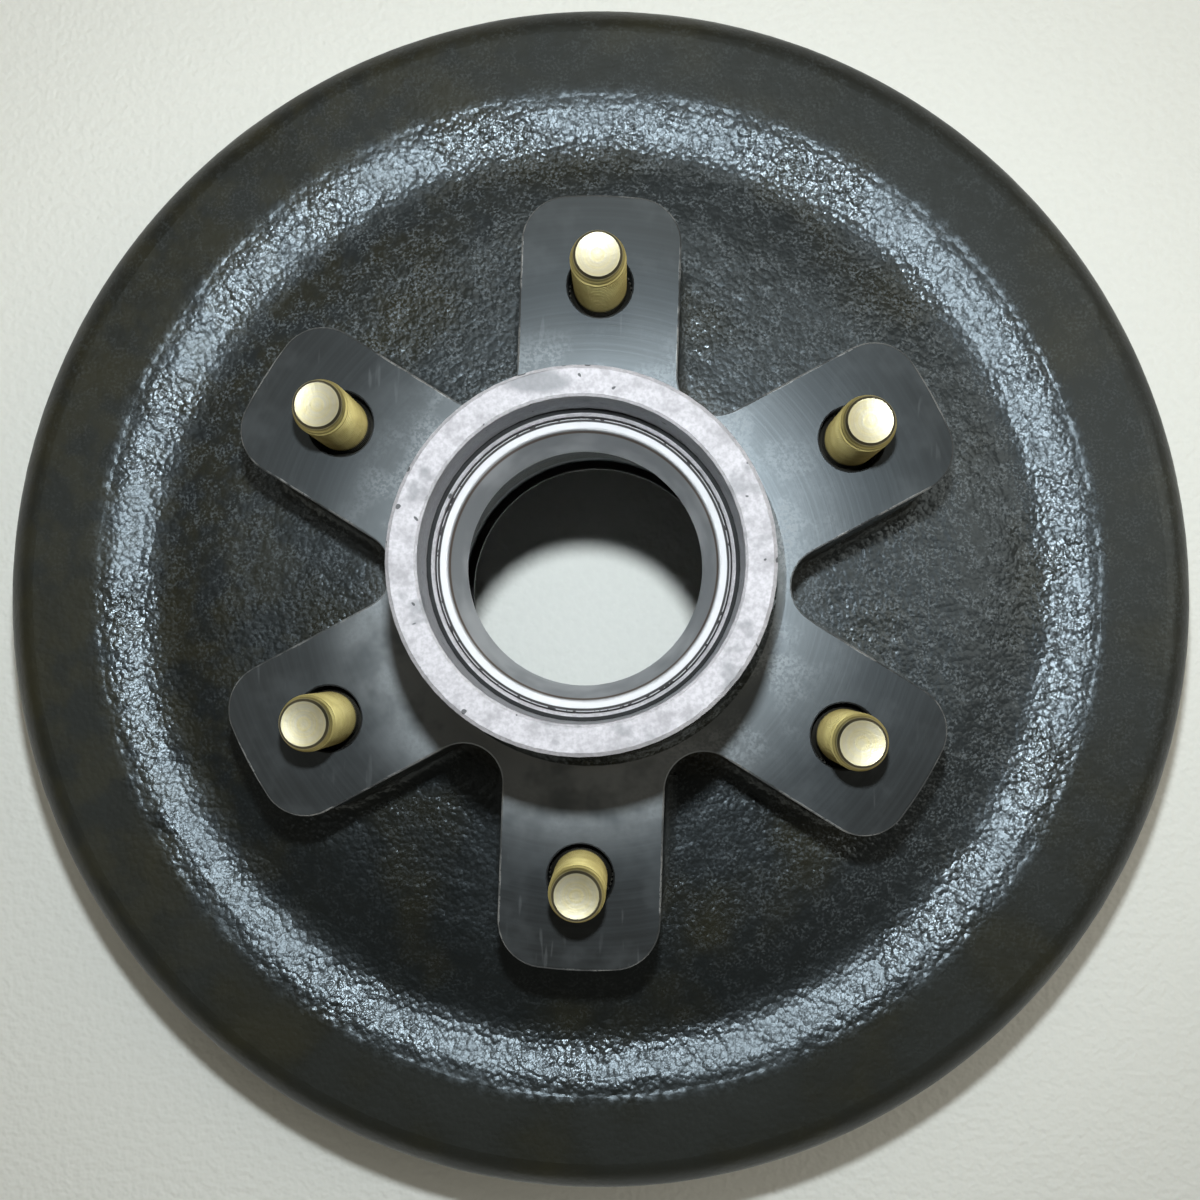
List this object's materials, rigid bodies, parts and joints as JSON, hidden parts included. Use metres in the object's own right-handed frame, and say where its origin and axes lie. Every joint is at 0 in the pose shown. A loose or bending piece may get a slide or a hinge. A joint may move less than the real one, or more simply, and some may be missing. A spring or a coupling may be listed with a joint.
{
  "type": "brake drum",
  "caption": "Cast iron trailer hub with integral brake drum, tall hollow wheel pads, pressed-in wheel studs and bearing cups in its bore.",
  "frame": {"origin": "centre of the open edge, on the plane that the drum stands on", "axes": "+Z along the hub axis towards the outboard end of the hub, +Y through wheel stud 1"},
  "size_m": [0.332, 0.332, 0.182],
  "materials": {
    "casting": "black dip paint over sand-cast iron; hub face, bores and brake surface machined bright",
    "stud_plating": "yellow zinc plate",
    "bearing_steel": "ground"
  },
  "bodies": {
    "root": {"hub_drum": "casting", "wheel_stud_1": "stud_plating", "wheel_stud_2": "stud_plating", "wheel_stud_3": "stud_plating", "wheel_stud_4": "stud_plating", "wheel_stud_5": "stud_plating", "wheel_stud_6": "stud_plating", "outer_bearing_cup": "bearing_steel", "inner_bearing_cup": "bearing_steel"}
  },
  "joints": []
}
